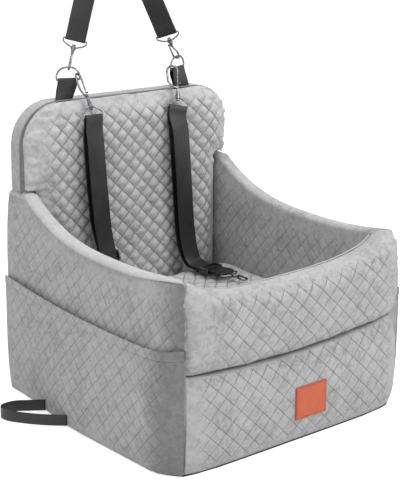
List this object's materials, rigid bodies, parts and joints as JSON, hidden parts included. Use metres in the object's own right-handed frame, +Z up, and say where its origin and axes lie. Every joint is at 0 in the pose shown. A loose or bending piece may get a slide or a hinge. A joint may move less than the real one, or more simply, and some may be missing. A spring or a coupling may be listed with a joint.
{
  "type": "dog car seat",
  "caption": "Quilted grey foam dog car seat with a tall padded back, side pockets, a bare leather patch, webbing headrest strap and safety tethers with snap hooks.",
  "frame": {"origin": "Centre of the flat underside, on the surface that the seat stands on.", "axes": "+Z up, the front wall with the patch faces -Y, +X is to the right for someone looking at the front."},
  "size_m": [0.6428, 0.5395, 0.9068],
  "materials": {
    "side_cloth": "matte woven polyester, mid grey",
    "front_cloth": "matte woven polyester, light grey",
    "light_cloth": "diamond quilted matte polyester, pale grey",
    "grip_cloth": "black cloth with a non-slip dot coat",
    "webbing": "black ribbed polyester webbing, slight sheen",
    "foam": "cut foam, hidden inside the covers",
    "board": "hardboard stiffener, hidden",
    "leather": "tan leather patch, plain, slight sheen",
    "nickel": "bright nickel plated wire and castings",
    "black_metal": "black enamelled adjusters, semi-gloss"
  },
  "bodies": {
    "seat": {"base_sheet": "grip_cloth", "base_board": "board", "base_foam": "foam", "seat_cushion": "light_cloth", "left_side_cover": "side_cloth", "right_side_cover": "side_cloth", "left_side_foam": "foam", "right_side_foam": "foam", "left_pocket": "side_cloth", "right_pocket": "side_cloth", "left_pocket_hem": "side_cloth", "right_pocket_hem": "side_cloth", "front_lower_cover": "front_cloth", "front_lower_foam": "foam", "front_upper_roll": "front_cloth", "leather_patch": "leather", "back_cover": "side_cloth", "back_foam": "foam", "back_pad": "light_cloth", "left_ring_tab": "webbing", "right_ring_tab": "webbing", "side_strap_loop": "webbing"},
    "carry_strap": {"carry_strap": "webbing", "left_carry_frame": "nickel", "right_carry_frame": "nickel"},
    "carry_adjuster": {"carry_adjuster": "black_metal", "carry_strap_hem": "webbing"},
    "left_ring": {"left_d_ring": "nickel"},
    "left_carry_hook": {"left_carry_hook": "nickel"},
    "left_carry_gate": {"left_carry_gate": "nickel"},
    "left_tether_hook": {"left_tether_top_hook": "nickel"},
    "left_tether_gate": {"left_tether_top_gate": "nickel"},
    "left_tether": {"left_tether_top_frame": "nickel", "left_tether_webbing": "webbing", "left_tether_lower_frame": "nickel"},
    "left_tether_adjuster": {"left_tether_adjuster": "black_metal", "left_tether_hem": "webbing"},
    "left_lower_hook": {"left_tether_lower_hook": "nickel"},
    "left_lower_gate": {"left_tether_lower_gate": "nickel"},
    "right_ring": {"right_d_ring": "nickel"},
    "right_carry_hook": {"right_carry_hook": "nickel"},
    "right_carry_gate": {"right_carry_gate": "nickel"},
    "right_tether_hook": {"right_tether_top_hook": "nickel"},
    "right_tether_gate": {"right_tether_top_gate": "nickel"},
    "right_tether": {"right_tether_top_frame": "nickel", "right_tether_webbing": "webbing", "right_tether_lower_frame": "nickel"},
    "right_tether_adjuster": {"right_tether_adjuster": "black_metal", "right_tether_hem": "webbing"},
    "right_lower_hook": {"right_tether_lower_hook": "nickel"},
    "right_lower_gate": {"right_tether_lower_gate": "nickel"}
  },
  "joints": [
    {"name": "carry_strap_swing", "type": "hinge", "parent": "seat", "child": "carry_strap", "pos_m": [-0.12884, 0.22595, 0.61995], "axis": [1, 0.0023, 0], "range_deg": [-5, 2]},
    {"name": "carry_adjuster_slide", "type": "slide", "parent": "carry_strap", "child": "carry_adjuster", "axis": [-0.4475, 0.0082, 0.8942], "range_m": [0, 0.04]},
    {"name": "left_ring_swing", "type": "hinge", "parent": "seat", "child": "left_ring", "pos_m": [-0.131, 0.2272, 0.596], "axis": [0.866, -0.5, 0], "range_deg": [-3, 0]},
    {"name": "left_carry_hook_swivel", "type": "hinge", "parent": "carry_strap", "child": "left_carry_hook", "pos_m": [-0.11843, 0.22609, 0.6541], "axis": [-0.2914, -0.0039, -0.9566], "range_deg": [-20, 20]},
    {"name": "left_carry_gate_hinge", "type": "hinge", "parent": "left_carry_hook", "child": "left_carry_gate", "pos_m": [-0.11907, 0.23219, 0.63921], "axis": [-0.8192, 0.5175, 0.2474], "range_deg": [0, 25], "stiffness_Nm_per_rad": 0.02},
    {"name": "left_tether_swing", "type": "hinge", "parent": "left_ring", "child": "left_tether_hook", "pos_m": [-0.11243, 0.21648, 0.59676], "axis": [-1, 0, 0], "range_deg": [0, 50]},
    {"name": "left_tether_gate_hinge", "type": "hinge", "parent": "left_tether_hook", "child": "left_tether_gate", "pos_m": [-0.1066, 0.20428, 0.57141], "axis": [0.4415, -0.7646, 0.4695], "range_deg": [0, 25], "stiffness_Nm_per_rad": 0.02},
    {"name": "left_tether_swivel", "type": "hinge", "parent": "left_tether_hook", "child": "left_tether", "pos_m": [-0.10788, 0.18995, 0.54927], "axis": [0.0485, 0.5428, 0.8385], "range_deg": [-10, 9]},
    {"name": "left_tether_adjuster_slide", "type": "slide", "parent": "left_tether", "child": "left_tether_adjuster", "axis": [0.1341, -0.2254, -0.965], "range_m": [0, 0.003]},
    {"name": "left_lower_hook_swivel", "type": "hinge", "parent": "left_tether", "child": "left_lower_hook", "pos_m": [-0.07925, 0.06152, 0.2007], "axis": [0.0454, -0.999, 0], "range_deg": [-45, 225]},
    {"name": "left_lower_gate_hinge", "type": "hinge", "parent": "left_lower_hook", "child": "left_lower_gate", "pos_m": [-0.072, 0.04743, 0.2007], "axis": [0, 0, -1], "range_deg": [0, 25], "stiffness_Nm_per_rad": 0.02},
    {"name": "right_ring_swing", "type": "hinge", "parent": "seat", "child": "right_ring", "pos_m": [0.131, 0.2272, 0.582], "axis": [0.9659, 0.2588, 0], "range_deg": [-1.5, 0]},
    {"name": "right_carry_hook_swivel", "type": "hinge", "parent": "carry_strap", "child": "right_carry_hook", "pos_m": [0.11242, 0.22662, 0.63778], "axis": [0.4529, -0.0018, -0.8916], "range_deg": [-18, 5]},
    {"name": "right_carry_gate_hinge", "type": "hinge", "parent": "right_carry_hook", "child": "right_carry_gate", "pos_m": [0.11709, 0.23348, 0.62399], "axis": [-0.8539, -0.2886, -0.4331], "range_deg": [0, 25], "stiffness_Nm_per_rad": 0.02},
    {"name": "right_tether_swing", "type": "hinge", "parent": "right_ring", "child": "right_tether_hook", "pos_m": [0.11029, 0.22165, 0.58276], "axis": [-1, 0, 0], "range_deg": [0, 50]},
    {"name": "right_tether_gate_hinge", "type": "hinge", "parent": "right_tether_hook", "child": "right_tether_gate", "pos_m": [0.11056, 0.20095, 0.55793], "axis": [-0.5434, -0.6476, 0.5341], "range_deg": [0, 25], "stiffness_Nm_per_rad": 0.02},
    {"name": "right_tether_swivel", "type": "hinge", "parent": "right_tether_hook", "child": "right_tether", "pos_m": [0.10184, 0.18986, 0.53561], "axis": [0.3301, 0.4201, 0.8453], "range_deg": [-5, 1]},
    {"name": "right_tether_adjuster_slide", "type": "slide", "parent": "right_tether", "child": "right_tether_adjuster", "axis": [0.1235, -0.9923, 0.0046], "range_m": [-0.003, 0.003]},
    {"name": "right_lower_hook_swivel", "type": "hinge", "parent": "right_tether", "child": "right_lower_hook", "pos_m": [0.1328, 0.05755, 0.2007], "axis": [0.0789, -0.9969, 0], "range_deg": [-45, 225]},
    {"name": "right_lower_gate_hinge", "type": "hinge", "parent": "right_lower_hook", "child": "right_lower_gate", "pos_m": [0.14052, 0.04372, 0.2007], "axis": [0, 0, -1], "range_deg": [0, 25], "stiffness_Nm_per_rad": 0.02}
  ]
}
